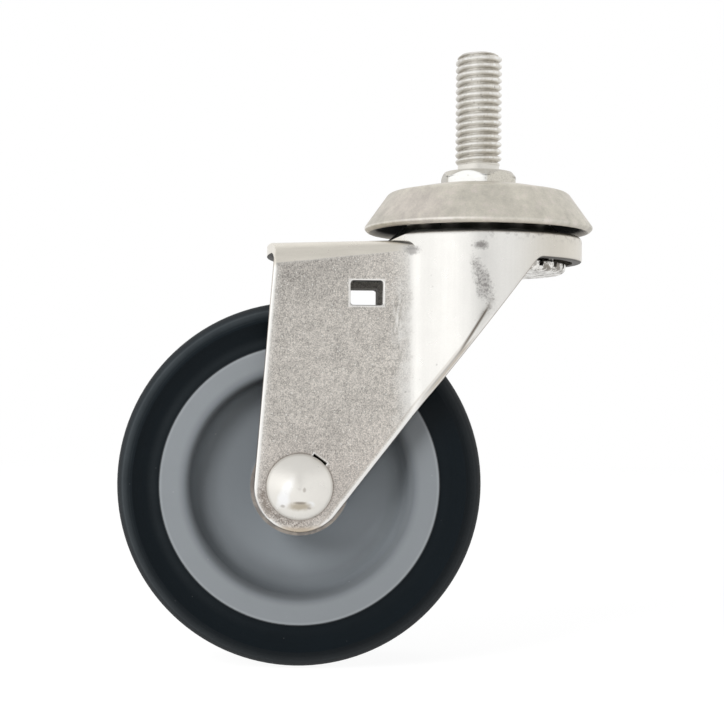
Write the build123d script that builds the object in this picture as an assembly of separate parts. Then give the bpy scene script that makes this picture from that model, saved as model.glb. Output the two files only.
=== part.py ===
from build123d import *
import math
import os

# Swivel castor with a threaded stem, a two-row ball race and a solid-tyred wheel, in millimetres.
# The origin lies on the swivel axis, on top of the hex collar that seats against the equipment.
# +Z points up the stem, the wheel trails towards -X and its axle lies along Y.

# Threaded stem and hex collar, one piece with the kingpin
STEM_DIAMETER = 9.75
STEM_LENGTH = 25.0
STEM_CHAMFER = 1.0
HEX_ACROSS_FLATS = 14.8
HEX_HEIGHT = 3.1
HEX_CORNER_ANGLE = -25.0
HEX_BEVEL_ANGLE = 50.0
KINGPIN_DIAMETER = 12.0
KINGPIN_NECK_DIAMETER = 9.0
KINGPIN_HEAD_DIAMETER = 14.0
KINGPIN_HEAD_HEIGHT = 1.4

# Pressed top cap
CAP_SHEET = 2.0
CAP_RIM_RADIUS = 24.2
CAP_KNEE_RADIUS = 18.95
CAP_FLAT_RADIUS = 11.0
CAP_KNEE_DROP = 1.55
CAP_DEPTH = 10.0
CAP_LIP_HEIGHT = 1.1

# Ball race: two rings of equal balls, one above and one below the fork head
BALL_DIAMETER = 6.35
BALL_COUNT = 12
RACE_RADIUS = 13.3
RACE_PLAY = 0.08
CAP_TRACK_DEPTH = 0.3

# Lower race cup, a pressing with a toothed rim
CUP_SHEET = 1.9
CUP_CORNER_RADIUS = 1.5
CUP_TRACK_DEPTH = 0.35
CUP_LIP_HEIGHT = 0.35
CUP_TEETH = 24
CUP_NOTCH_WIDTH = 1.2
CUP_NOTCH_DEPTH = 1.3

# Fork, pressed from one sheet: a drawn head, a sloping web and two flat legs
FORK_SHEET = 2.0
DIE_ROLL_SHARE = 0.3
PUNCH_ROLL_SHARE = 0.18
HEAD_RADIUS = 21.8
HEAD_BEND = 1.3
HEAD_SKIRT = 5.5
HEAD_CREST_RISE = 0.3
HEAD_CREST_WIDTH = 0.7
HEAD_PLATE_DROP = 1.94
HEAD_RAMP_RADIUS = 18.0
HEAD_REAR_FALL = 7.5
HEAD_BORE_PLAY = 0.4
LEG_OUTER_HALF = 16.5
LEG_END_RADIUS = 9.15
LEG_REAR_LEAN = 4.6
LEG_FRONT_LEAN = 37.7
LEG_BLEND_RADIUS = 6.0
SKIRT_CORNER_RADIUS = 2.0
WEB_REAR_DROP = 2.75
WEB_FRONT_DROP = 1.9
WEB_REAR_BEND = 5.8
WEB_FRONT_BEND = 2.2
WEB_REAR_BULGE = 2.5
SLOT_LENGTH = 6.5
SLOT_HEIGHT = 4.8
SLOT_CORNER = 0.6
SLOT_FORWARD = 13.1
SLOT_RISE = 38.75
KEY_NOTCH_REACH = 6.9
KEY_NOTCH_WIDTH = 3.0
KEY_NOTCH_ANGLE = 53.7

# Axle, a snap-head rivet through a clamped spacer sleeve
TRAIL = 37.2
AXLE_DROP = 65.3
RIVET_DIAMETER = 8.0
RIVET_HEAD_DIAMETER = 13.2
RIVET_HEAD_HEIGHT = 3.4
RIVET_HEAD_EDGE = 0.5
RIVET_PLAY = 0.1
SLEEVE_DIAMETER = 12.0
WASHER_DIAMETER = 19.8
WASHER_THICKNESS = 1.0
WASHER_PLAY = 0.1

# Wheel: a moulded hub with a tyre moulded round it
WHEEL_DIAMETER = 75.0
TYRE_WIDTH = 25.0
TYRE_TREAD_WIDTH = 12.0
TYRE_TREAD_CROWN = 0.25
TYRE_CORNER_BULGE = 0.9
TYRE_SHOULDER_DROP = 2.9
TYRE_SHOULDER_INSET = 0.55
TYRE_SIDE_DROP = 3.8
TYRE_BEAD_INSET = 1.1
HUB_RIM_RADIUS = 28.5
HUB_FACE_HALF = 11.6
HUB_TONGUE_HEIGHT = 2.0
HUB_TONGUE_HALF = 4.0
HUB_DISH_RADIUS = 22.3
HUB_DISH_DEPTH = 4.4
HUB_DISH_SLOPE = 1.6
HUB_DISH_FILLET = 2.2
HUB_LIP_FILLET = 1.2
HUB_BOSS_RADIUS = 9.2
HUB_BOSS_FILLET = 1.2
HUB_BORE_PLAY = 0.07
HUB_END_PLAY = 0.1

# Heights down the swivel axis, each from the one above it
CAP_TOP = -HEX_HEIGHT
CAP_BOTTOM = CAP_TOP - CAP_DEPTH
CAP_SLOPE = CAP_KNEE_DROP / (CAP_KNEE_RADIUS - CAP_FLAT_RADIUS)
CAP_UNDERSIDE = CAP_TOP - CAP_SLOPE * (RACE_RADIUS - CAP_FLAT_RADIUS) - CAP_SHEET
BALL_RADIUS = BALL_DIAMETER / 2
TRACK_RADIUS = BALL_RADIUS + RACE_PLAY
UPPER_BALL_Z = CAP_UNDERSIDE + CAP_TRACK_DEPTH - TRACK_RADIUS
HEAD_TRACK_BOTTOM = UPPER_BALL_Z - TRACK_RADIUS
HEAD_CREST = HEAD_TRACK_BOTTOM + HEAD_CREST_RISE
HEAD_TOP = HEAD_TRACK_BOTTOM - HEAD_PLATE_DROP
SKIRT_BOTTOM = HEAD_TOP - HEAD_SKIRT
WEB_FRONT = HEAD_TOP - WEB_FRONT_DROP
WEB_REAR = HEAD_TOP - WEB_REAR_DROP
WEB_BEND_BOTTOM = WEB_REAR - WEB_REAR_BEND
LOWER_BALL_Z = HEAD_CREST - FORK_SHEET - TRACK_RADIUS
CUP_FLOOR = LOWER_BALL_Z - TRACK_RADIUS + CUP_TRACK_DEPTH
CUP_BOTTOM = CUP_FLOOR - CUP_SHEET
CUP_RADIUS = RACE_RADIUS + TRACK_RADIUS + CUP_SHEET

# Widths along the axle
LEG_INNER_HALF = LEG_OUTER_HALF - FORK_SHEET
LEG_MEETS_HEAD_X = -math.sqrt(HEAD_RADIUS**2 - LEG_OUTER_HALF**2)
HUB_BOSS_HALF = LEG_INNER_HALF - WASHER_THICKNESS - HUB_END_PLAY
BELOW_WHEEL = -AXLE_DROP - WHEEL_DIAMETER


def outline(*corners):
    """A closed face from its corners in order, each (x, y) or (x, y, fillet radius)."""
    points = [Vector(corner[0], corner[1]) for corner in corners]
    radii = [corner[2] if len(corner) > 2 else 0 for corner in corners]
    ends = []
    for index, point in enumerate(points):
        before = (points[index - 1] - point).normalized()
        after = (points[(index + 1) % len(points)] - point).normalized()
        radius = radii[index]
        if not radius:
            ends.append((point, None, point))
            continue
        half_angle = math.radians(before.get_angle(after)) / 2
        inward = (before + after).normalized()
        run = radius / math.tan(half_angle)
        crest = point + inward * (radius / math.sin(half_angle) - radius)
        ends.append((point + before * run, crest, point + after * run))
    edges = []
    for index, (start, crest, end) in enumerate(ends):
        edges.append(Line(ends[index - 1][2], start))
        if crest is not None:
            edges.append(ThreePointArc(start, crest, end))
    return make_face(edges)


def turned(face):
    """A face drawn as (radius, height) turned about Z."""
    return revolve(Plane.XZ * face, Axis.Z)


def on_axle(solid):
    """Lay a solid drawn about Z on the axle, its top towards -Y."""
    return Pos(-TRAIL, 0, -AXLE_DROP) * Rot(90, 0, 0) * solid


def drilled(solid, diameter, top, bottom):
    """A round hole on the Z axis between two heights."""
    length = top - bottom
    return solid - Pos(0, 0, (top + bottom) / 2) * Cylinder(diameter / 2, length)


def kingpin_stem():
    """Stem, hex collar and kingpin, turned from one bar, its lower end riveted over."""
    stem_radius = STEM_DIAMETER / 2
    shank_radius = KINGPIN_DIAMETER / 2
    neck_radius = KINGPIN_NECK_DIAMETER / 2
    head_radius = KINGPIN_HEAD_DIAMETER / 2
    pin = turned(
        outline(
            (0, STEM_LENGTH),
            (stem_radius - STEM_CHAMFER, STEM_LENGTH, STEM_CHAMFER / 2),
            (stem_radius, STEM_LENGTH - STEM_CHAMFER),
            (stem_radius, CAP_TOP),
            (shank_radius, CAP_TOP),
            (shank_radius, CUP_FLOOR),
            (neck_radius, CUP_FLOOR),
            (neck_radius, CUP_BOTTOM),
            (head_radius, CUP_BOTTOM),
            (head_radius - KINGPIN_HEAD_HEIGHT / 2, CUP_BOTTOM - KINGPIN_HEAD_HEIGHT, 0.6),
            (0, CUP_BOTTOM - KINGPIN_HEAD_HEIGHT),
        )
    )
    corner_radius = HEX_ACROSS_FLATS / 2 / math.cos(math.pi / 6)
    hex_sketch = Rot(0, 0, HEX_CORNER_ANGLE) * RegularPolygon(corner_radius, 6)
    collar = Pos(0, 0, CAP_TOP) * extrude(hex_sketch, HEX_HEIGHT)
    bevel_radius = HEX_ACROSS_FLATS / 2 - 0.2
    bevel_drop = (corner_radius - bevel_radius) * math.tan(math.radians(HEX_BEVEL_ANGLE))
    bevel = turned(
        outline(
            (0, 0),
            (bevel_radius, 0),
            (corner_radius, -bevel_drop),
            (corner_radius + 1, -bevel_drop),
            (corner_radius + 1, CAP_TOP),
            (0, CAP_TOP),
        )
    )
    return pin + (collar & bevel)


def top_cap():
    """Pressed cap: a shallow crown, a conical side and a rolled lip, with the upper ball track."""
    rim_side = CAP_RIM_RADIUS - CAP_KNEE_RADIUS
    knee_z = CAP_TOP - CAP_KNEE_DROP
    rim_z = CAP_BOTTOM + CAP_LIP_HEIGHT
    side_angle = math.atan2(knee_z - rim_z, rim_side)
    side_wall = CAP_SHEET / math.sin(side_angle)
    inner_knee = CAP_KNEE_RADIUS - CAP_SHEET * math.tan(side_angle / 2)
    lip_half = side_wall / 2
    shell = outline(
        (KINGPIN_DIAMETER / 2, CAP_TOP),
        (CAP_FLAT_RADIUS, CAP_TOP, 4.0),
        (CAP_KNEE_RADIUS, knee_z, 1.8),
        (CAP_RIM_RADIUS, rim_z, 0.6),
        (CAP_RIM_RADIUS - lip_half, CAP_BOTTOM, 0.8),
        (CAP_RIM_RADIUS - side_wall, rim_z, 0.25),
        (inner_knee, knee_z - CAP_SHEET, 0.8),
        (CAP_FLAT_RADIUS, CAP_TOP - CAP_SHEET, 2.0),
        (KINGPIN_DIAMETER / 2, CAP_TOP - CAP_SHEET),
    )
    track = Pos(0, 0, UPPER_BALL_Z) * Torus(RACE_RADIUS, TRACK_RADIUS)
    return turned(shell) - track


def lower_race_cup():
    """Dished cup riveted to the kingpin, with the lower ball track and a toothed rim."""
    rim_top = CUP_FLOOR + CUP_LIP_HEIGHT
    rim_inner = CUP_RADIUS - CUP_SHEET
    cup = turned(
        outline(
            (KINGPIN_NECK_DIAMETER / 2, CUP_BOTTOM),
            (CUP_RADIUS, CUP_BOTTOM, CUP_CORNER_RADIUS),
            (CUP_RADIUS, rim_top, 0.4),
            (rim_inner, rim_top, 0.4),
            (rim_inner, CUP_FLOOR),
            (KINGPIN_NECK_DIAMETER / 2, CUP_FLOOR),
        )
    )
    notch = Pos(CUP_RADIUS, 0, rim_top) * Box(3 * CUP_SHEET, CUP_NOTCH_WIDTH, 2 * CUP_NOTCH_DEPTH)
    notches = [Rot(0, 0, 360 * (index + 0.5) / CUP_TEETH) * notch for index in range(CUP_TEETH)]
    track = Pos(0, 0, LOWER_BALL_Z) * Torus(RACE_RADIUS, TRACK_RADIUS)
    return cup - track - notches


def race_balls(height):
    """One ring of loose balls at its place between two tracks."""
    ball = Pos(RACE_RADIUS, 0, height) * Sphere(BALL_RADIUS)
    return [Rot(0, 0, 360 * index / BALL_COUNT) * ball for index in range(BALL_COUNT)]


def head_section(inset):
    """Half sections of the head's upper skin, moved down into the sheet by inset: drum, crest."""
    track_half = math.sqrt(TRACK_RADIUS**2 - (TRACK_RADIUS - HEAD_CREST_RISE) ** 2)
    crest_outer = RACE_RADIUS + track_half + HEAD_CREST_WIDTH
    ramp_angle = math.atan2(HEAD_CREST - HEAD_TOP, HEAD_RAMP_RADIUS - crest_outer)
    slide = inset * math.tan(ramp_angle / 2)
    foot_radius = HEAD_RAMP_RADIUS + (HEAD_TOP - WEB_FRONT) / math.tan(ramp_angle)
    drum = outline(
        (0, BELOW_WHEEL),
        (HEAD_RADIUS - inset, BELOW_WHEEL),
        (HEAD_RADIUS - inset, HEAD_TOP - inset, max(HEAD_BEND - inset, 0.3)),
        (0, HEAD_TOP - inset),
    )
    crest = outline(
        (0, WEB_FRONT - inset),
        (foot_radius - slide, WEB_FRONT - inset),
        (crest_outer - slide, HEAD_CREST - inset, 0.4),
        (0, HEAD_CREST - inset),
    )
    return drum, crest


def rear_fall(inset):
    """Block that cuts the drum's rear shelf to a slope running out on the web."""
    side = outline(
        (LEG_MEETS_HEAD_X, HEAD_TOP - inset),
        (LEG_MEETS_HEAD_X, HEAD_CREST + 1),
        (-HEAD_RADIUS - 1, HEAD_CREST + 1),
        (-HEAD_RADIUS - 1, WEB_REAR - inset),
        (LEG_MEETS_HEAD_X - HEAD_REAR_FALL, WEB_REAR - inset),
    )
    return Pos(0, HEAD_RADIUS, 0) * extrude(Plane.XZ * side, 2 * HEAD_RADIUS)


def leg_block(inset, rear_x):
    """Block across both legs and the web, its top sloping up to the head, its upper edges bent."""
    half = LEG_OUTER_HALF - inset
    front_x = LEG_MEETS_HEAD_X + FORK_SHEET
    side = outline(
        (rear_x, BELOW_WHEEL),
        (front_x, BELOW_WHEEL),
        (front_x, WEB_FRONT - inset),
        (rear_x, WEB_REAR - inset),
    )
    block = Pos(0, half, 0) * extrude(Plane.XZ * side, 2 * half)
    sections = []
    for x, top, bend in (
        (rear_x, WEB_REAR - inset, max(WEB_REAR_BEND - inset, 0.3)),
        (front_x, WEB_FRONT - inset, max(WEB_FRONT_BEND - inset, 0.3)),
    ):
        arc_middle = bend * (1 - math.sqrt(0.5))
        corner = make_face(
            [
                ThreePointArc(
                    (half, top - bend),
                    (half - arc_middle, top - arc_middle),
                    (half - bend, top),
                ),
                Line((half - bend, top), (half - bend, top + 1)),
                Line((half - bend, top + 1), (half + 1, top + 1)),
                Line((half + 1, top + 1), (half + 1, top - bend)),
                Line((half + 1, top - bend), (half, top - bend)),
            ]
        )
        sections.append(Plane(origin=(x, 0, 0), x_dir=(0, 1, 0), z_dir=(1, 0, 0)) * corner)
    waste = loft(sections, ruled=True)
    return block - waste - mirror(waste, Plane.XZ)


def head_blend(inset):
    """The concave bend, on both sides, that leads each flat leg into the round head."""
    centre_y = LEG_OUTER_HALF + LEG_BLEND_RADIUS
    centre_reach = HEAD_RADIUS + LEG_BLEND_RADIUS
    centre_x = -math.sqrt(centre_reach**2 - centre_y**2)
    radius = LEG_BLEND_RADIUS + inset
    toward_head = Vector(-centre_x, -centre_y).normalized() * radius
    toward_leg = Vector(0, -radius)
    middle = (toward_head + toward_leg).normalized() * radius
    centre = Vector(centre_x, centre_y)
    on_leg = centre + toward_leg
    on_head = centre + toward_head
    inside = Vector(on_head.X, LEG_INNER_HALF / 2)
    web = make_face(
        [
            ThreePointArc(on_leg, centre + middle, on_head),
            Line(on_head, inside),
            Line(inside, on_leg),
        ]
    )
    top = WEB_FRONT - WEB_FRONT_BEND
    wedge = Pos(0, 0, BELOW_WHEEL) * extrude(web, top - BELOW_WHEEL)
    return wedge + mirror(wedge, Plane.XZ)


def lies_on(edge, solid):
    """Whether the middle of an edge is on the surface of a solid."""
    middle = edge @ 0.5
    return min(face.distance_to(middle) for face in solid.faces()) < 1e-4


def on_web_bend(edge):
    """Whether an edge belongs to the web's bent rear end, which stays sharp."""
    middle = edge @ 0.5
    return middle.X < -TRAIL and middle.Z > WEB_BEND_BOTTOM


def fork():
    """Fork pressed from one sheet: outer skin less inner skin, trimmed to its side view."""
    rear_x = -TRAIL - LEG_END_RADIUS
    skins = []
    for inset in (0, FORK_SHEET):
        drum, crest = head_section(inset)
        head = turned(drum) - rear_fall(inset) + turned(crest)
        legs = leg_block(inset, rear_x - WEB_REAR_BULGE)
        skins.append(head + legs + head_blend(inset))
    profile = leg_profile()
    body = (skins[0] - skins[1]) & profile
    body -= Pos(0, 0, UPPER_BALL_Z) * Torus(RACE_RADIUS, TRACK_RADIUS)
    body = drilled(body, KINGPIN_DIAMETER + 2 * HEAD_BORE_PLAY, 0, CUP_BOTTOM)
    outline_edges = [
        edge
        for edge in body.edges()
        if not on_web_bend(edge) and lies_on(edge, skins[0]) and lies_on(edge, profile)
    ]
    body = fillet(outline_edges, DIE_ROLL_SHARE * FORK_SHEET)
    punches = [leg_slot(), axle_hole()]
    for punch in punches:
        body -= punch
    punched = [
        edge
        for edge in body.edges()
        if lies_on(edge, skins[0]) and any(lies_on(edge, punch) for punch in punches)
    ]
    return fillet(punched, PUNCH_ROLL_SHARE * FORK_SHEET)


def leg_profile():
    """Side view of the fork, as a block across its whole width, with the web's bulged rear edge."""
    rear = math.radians(LEG_REAR_LEAN)
    front = math.radians(LEG_FRONT_LEAN)
    axle = Vector(-TRAIL, -AXLE_DROP)
    rear_tangent = axle + Vector(-math.cos(rear), math.sin(rear)) * LEG_END_RADIUS
    front_tangent = axle + Vector(math.cos(front), -math.sin(front)) * LEG_END_RADIUS
    lowest = axle + Vector(0, -LEG_END_RADIUS)
    top = HEAD_CREST + 1
    rear_top = rear_tangent + Vector(math.sin(rear), math.cos(rear)) * (
        (top - rear_tangent.Y) / math.cos(rear)
    )
    front_run = (SKIRT_BOTTOM - front_tangent.Y) / math.cos(front)
    front_top = front_tangent + Vector(math.sin(front), math.cos(front)) * front_run
    corner_run = SKIRT_CORNER_RADIUS * math.tan((math.pi / 2 - front) / 2)
    before = front_top - Vector(math.sin(front), math.cos(front)) * corner_run
    after = front_top + Vector(corner_run, 0)
    centre = after + Vector(0, -SKIRT_CORNER_RADIUS)
    crest = centre + ((front_top - centre).normalized()) * SKIRT_CORNER_RADIUS
    nose = Vector(HEAD_RADIUS + 1, SKIRT_BOTTOM)
    nose_top = Vector(HEAD_RADIUS + 1, top)
    side = make_face(
        [
            Line(rear_top, rear_tangent),
            ThreePointArc(rear_tangent, lowest, front_tangent),
            Line(front_tangent, before),
            ThreePointArc(before, crest, after),
            Line(after, nose),
            Line(nose, nose_top),
            Line(nose_top, rear_top),
        ]
    )
    width = 2 * HEAD_RADIUS + 2
    block = Pos(0, width / 2, 0) * extrude(Plane.XZ * side, width)
    edge_x = rear_top.X
    bulge = make_face(
        [
            ThreePointArc(
                (edge_x, -LEG_OUTER_HALF),
                (edge_x - WEB_REAR_BULGE, 0),
                (edge_x, LEG_OUTER_HALF),
            ),
            Line((edge_x, LEG_OUTER_HALF), (edge_x + 1, 0)),
            Line((edge_x + 1, 0), (edge_x, -LEG_OUTER_HALF)),
        ]
    )
    return block + Pos(0, 0, WEB_BEND_BOTTOM) * extrude(bulge, top - WEB_BEND_BOTTOM)


def leg_slot():
    """Rectangular slot through both legs above the wheel."""
    slot = extrude(
        Plane.XZ * RectangleRounded(SLOT_LENGTH, SLOT_HEIGHT, SLOT_CORNER),
        2 * LEG_OUTER_HALF,
        both=True,
    )
    return Pos(SLOT_FORWARD - TRAIL, 0, SLOT_RISE - AXLE_DROP) * slot


def axle_hole():
    """Axle hole with its key notch, through both legs."""
    hole = Circle(RIVET_DIAMETER / 2 + RIVET_PLAY)
    notch = Pos(KEY_NOTCH_REACH / 2, 0) * Rectangle(KEY_NOTCH_REACH, KEY_NOTCH_WIDTH)
    keyed = hole + Rot(0, 0, KEY_NOTCH_ANGLE) * notch
    through = extrude(Plane.XZ * keyed, 2 * LEG_OUTER_HALF, both=True)
    return Pos(-TRAIL, 0, -AXLE_DROP) * through


def dome_head():
    """Half outline of a snap head standing on the height 0, as (radius, height)."""
    radius = RIVET_HEAD_DIAMETER / 2
    rise = RIVET_HEAD_HEIGHT - RIVET_HEAD_EDGE
    ball = (radius**2 + rise**2) / (2 * rise)
    half = math.asin(radius / ball) / 2
    centre_height = RIVET_HEAD_HEIGHT - ball
    return make_face(
        [
            Line((0, 0), (radius, 0)),
            Line((radius, 0), (radius, RIVET_HEAD_EDGE)),
            ThreePointArc(
                (radius, RIVET_HEAD_EDGE),
                (ball * math.sin(half), centre_height + ball * math.cos(half)),
                (0, RIVET_HEAD_HEIGHT),
            ),
            Line((0, RIVET_HEAD_HEIGHT), (0, 0)),
        ]
    )


def axle_rivet():
    """Rivet across the fork with a snap head on each leg."""
    head = Pos(0, 0, LEG_OUTER_HALF) * turned(dome_head())
    shank = Cylinder(RIVET_DIAMETER / 2, 2 * LEG_OUTER_HALF)
    return on_axle(shank + head + mirror(head, Plane.XY))


def axle_sleeve():
    """Spacer tube clamped between the legs, on which the hub turns."""
    tube = Cylinder(SLEEVE_DIAMETER / 2, 2 * LEG_INNER_HALF)
    return on_axle(drilled(tube, RIVET_DIAMETER + 2 * RIVET_PLAY, LEG_INNER_HALF, -LEG_INNER_HALF))


def thrust_washer(side):
    """Washer on the sleeve against one leg; side is 1 for -Y and -1 for +Y."""
    disc = Cylinder(WASHER_DIAMETER / 2, WASHER_THICKNESS)
    half = WASHER_THICKNESS / 2
    disc = drilled(disc, SLEEVE_DIAMETER + 2 * WASHER_PLAY, half, -half)
    return on_axle(Pos(0, 0, side * (LEG_INNER_HALF - half)) * disc)


def wheel_hub():
    """Moulded hub: bored boss, dished web and a rim with a tongue that holds the tyre."""
    bore = SLEEVE_DIAMETER / 2 + HUB_BORE_PLAY
    floor = HUB_FACE_HALF - HUB_DISH_DEPTH
    tongue = HUB_RIM_RADIUS + HUB_TONGUE_HEIGHT
    upper = [
        (bore, HUB_BOSS_HALF),
        (HUB_BOSS_RADIUS, HUB_BOSS_HALF, 0.4),
        (HUB_BOSS_RADIUS, floor, HUB_BOSS_FILLET),
        (HUB_DISH_RADIUS - HUB_DISH_SLOPE, floor, HUB_DISH_FILLET),
        (HUB_DISH_RADIUS, HUB_FACE_HALF, HUB_LIP_FILLET),
        (HUB_RIM_RADIUS, HUB_FACE_HALF),
        (HUB_RIM_RADIUS, HUB_TONGUE_HALF),
        (tongue, HUB_TONGUE_HALF),
    ]
    lower = [(corner[0], -corner[1], *corner[2:]) for corner in reversed(upper)]
    return on_axle(turned(outline(*upper, *lower)))


def tyre():
    """Solid tyre: soft concave sides, a shoulder edge and a crowned tread."""
    side = TYRE_WIDTH / 2
    bead = side - TYRE_BEAD_INSET
    shoulder = side - TYRE_SHOULDER_INSET
    tongue = HUB_RIM_RADIUS + HUB_TONGUE_HEIGHT
    crown = WHEEL_DIAMETER / 2
    side_radius = crown - TYRE_SIDE_DROP
    middle = (HUB_RIM_RADIUS + side_radius) / 2
    hollow = side - 0.8 * TYRE_BEAD_INSET
    edge = Vector(crown - TYRE_SHOULDER_DROP, shoulder)
    tread_end = Vector(crown - TYRE_TREAD_CROWN, TYRE_TREAD_WIDTH / 2)
    along = (tread_end - edge).normalized()
    corner = (edge + tread_end) / 2 + Vector(-along.Y, along.X) * TYRE_CORNER_BULGE
    edges = [
        Line((HUB_RIM_RADIUS, -bead), (HUB_RIM_RADIUS, -HUB_TONGUE_HALF)),
        Line((HUB_RIM_RADIUS, -HUB_TONGUE_HALF), (tongue, -HUB_TONGUE_HALF)),
        Line((tongue, -HUB_TONGUE_HALF), (tongue, HUB_TONGUE_HALF)),
        Line((tongue, HUB_TONGUE_HALF), (HUB_RIM_RADIUS, HUB_TONGUE_HALF)),
        Line((HUB_RIM_RADIUS, HUB_TONGUE_HALF), (HUB_RIM_RADIUS, bead)),
        ThreePointArc((HUB_RIM_RADIUS, bead), (middle, hollow), (side_radius, side)),
        Line((side_radius, side), edge),
        ThreePointArc(edge, corner, tread_end),
        ThreePointArc(tread_end, (crown, 0), (tread_end.X, -tread_end.Y)),
        ThreePointArc((tread_end.X, -tread_end.Y), (corner.X, -corner.Y), (edge.X, -edge.Y)),
        Line((edge.X, -edge.Y), (side_radius, -side)),
        ThreePointArc((side_radius, -side), (middle, -hollow), (HUB_RIM_RADIUS, -bead)),
    ]
    return on_axle(turned(make_face(edges)))


def build_pieces():
    """Every piece of the castor by name."""
    pieces = {
        "kingpin_stem": kingpin_stem(),
        "top_cap": top_cap(),
        "lower_race_cup": lower_race_cup(),
        "fork": fork(),
        "axle_rivet": axle_rivet(),
        "axle_sleeve": axle_sleeve(),
        "washer_near": thrust_washer(1),
        "washer_far": thrust_washer(-1),
        "wheel_hub": wheel_hub(),
        "tyre": tyre(),
    }
    for row, height in (("upper", UPPER_BALL_Z), ("lower", LOWER_BALL_Z)):
        for number, ball in enumerate(race_balls(height), start=1):
            pieces[f"{row}_ball_{number:02d}"] = ball
    return pieces


os.makedirs("parts", exist_ok=True)
for name, piece in build_pieces().items():
    export_step(piece, f"parts/{name}.step")
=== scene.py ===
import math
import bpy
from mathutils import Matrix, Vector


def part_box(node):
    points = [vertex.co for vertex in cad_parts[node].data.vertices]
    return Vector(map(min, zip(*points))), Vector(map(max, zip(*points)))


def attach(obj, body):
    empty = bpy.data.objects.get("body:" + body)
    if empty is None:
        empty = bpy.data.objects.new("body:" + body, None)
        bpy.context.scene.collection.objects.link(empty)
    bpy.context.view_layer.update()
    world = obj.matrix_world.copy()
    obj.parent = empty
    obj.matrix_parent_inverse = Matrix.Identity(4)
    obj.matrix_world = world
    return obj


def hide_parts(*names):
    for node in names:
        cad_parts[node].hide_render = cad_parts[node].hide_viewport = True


bl_info = {
    "name": "Stem Castor",
    "version": (1, 0, 0),
    "blender": (4, 5, 0),
    "location": "3D View > Sidebar > Castor",
    "description": "Dresses a swivel castor: cut thread, worn zinc, moulded plastic and rubber",
    "category": "Object",
}

import bmesh
import bpy
from mathutils import Matrix, Vector

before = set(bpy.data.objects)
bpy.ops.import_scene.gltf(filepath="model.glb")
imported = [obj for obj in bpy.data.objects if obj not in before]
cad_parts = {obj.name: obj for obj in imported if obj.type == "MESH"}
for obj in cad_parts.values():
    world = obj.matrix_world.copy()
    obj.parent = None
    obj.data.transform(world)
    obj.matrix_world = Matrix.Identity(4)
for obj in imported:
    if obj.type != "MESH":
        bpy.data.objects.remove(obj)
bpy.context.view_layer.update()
MM = 0.001
TYRE_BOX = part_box("tyre")
STEM_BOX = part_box("kingpin_stem")
CAP_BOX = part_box("top_cap")
CUP_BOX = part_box("lower_race_cup")

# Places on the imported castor, in millimetres
AXLE_X = (TYRE_BOX[0].x + TYRE_BOX[1].x) / 2 / MM
AXLE_Z = (TYRE_BOX[0].z + TYRE_BOX[1].z) / 2 / MM
STEM_TOP = STEM_BOX[1].z / MM
PIN_END = STEM_BOX[0].z / MM
CAP_TOP = CAP_BOX[1].z / MM
CAP_BOTTOM = CAP_BOX[0].z / MM
CUP_TOP = CUP_BOX[1].z / MM
CUP_BOTTOM = CUP_BOX[0].z / MM

# Stem, hex collar and kingpin
CREST_RADIUS = 9.75 / 2
CREST_ON_X = 24.0
HEX_ACROSS = 14.8
HEX_CORNER = math.radians(-25.0)
HEX_BEVEL = math.tan(math.radians(50.0))
BEVEL_REACH = 0.25
KINGPIN_RADIUS = 6.0
KINGPIN_NECK = 4.5
KINGPIN_NECK_LENGTH = 1.8
KINGPIN_HEAD = 7.0
STEM_SIDES = 144
ROWS_PER_PITCH = 18

# Legs of the fork
LEG_FACE = 16.5
LEG_END_RADIUS = 9.15
LEG_REAR_LEAN = math.radians(4.6)
LEG_FRONT_LEAN = math.radians(37.7)
BLEND_START = -18.8
BLEND_END = -15.2
SLOT_X = AXLE_X + 13.1
SLOT_Z = AXLE_Z + 38.75
SLOT_HALF = (3.25, 2.4)
KEY_AXIS = (0.592, 0.806)
KEY_REACH = 6.9
KEY_HALF = 1.5

# What several finishes share
PLATED = 0.95
# Pale colours for painted highlights and glints, and for bright scratches
GLINT = (1.0, 0.99, 0.96)
HIGHLIGHT_ZINC = (0.97, 0.96, 0.93)

# Studio, in metres
FLOOR_REACH = 0.7
LAMP_TARGET = (-0.02, 0.0, -0.04)


class CastorSizes(bpy.types.PropertyGroup):
    """Sizes of the detail that is cut or formed after the castor's plain shapes."""

    thread_pitch: bpy.props.FloatProperty(
        name="Thread pitch",
        description="Distance between two crests of the stem's thread",
        default=1.5 * MM,
        subtype="DISTANCE",
        precision=5,
    )
    thread_depth: bpy.props.FloatProperty(
        name="Thread depth",
        description="Height of a crest over the root, on the radius",
        default=0.88 * MM,
        subtype="DISTANCE",
        precision=5,
    )
    thread_start: bpy.props.FloatProperty(
        name="Plain neck",
        description="Height of the unthreaded neck above the hex collar",
        default=1.3 * MM,
        subtype="DISTANCE",
        precision=5,
    )
    neck_diameter: bpy.props.FloatProperty(
        name="Neck diameter",
        description="Diameter of the stem below its thread",
        default=8.7 * MM,
        subtype="DISTANCE",
        precision=5,
    )
    hex_rounding: bpy.props.FloatProperty(
        name="Hex rounding",
        description="How much the hex collar's upright corners are rubbed round",
        default=0.35 * MM,
        subtype="DISTANCE",
        precision=5,
    )


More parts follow.
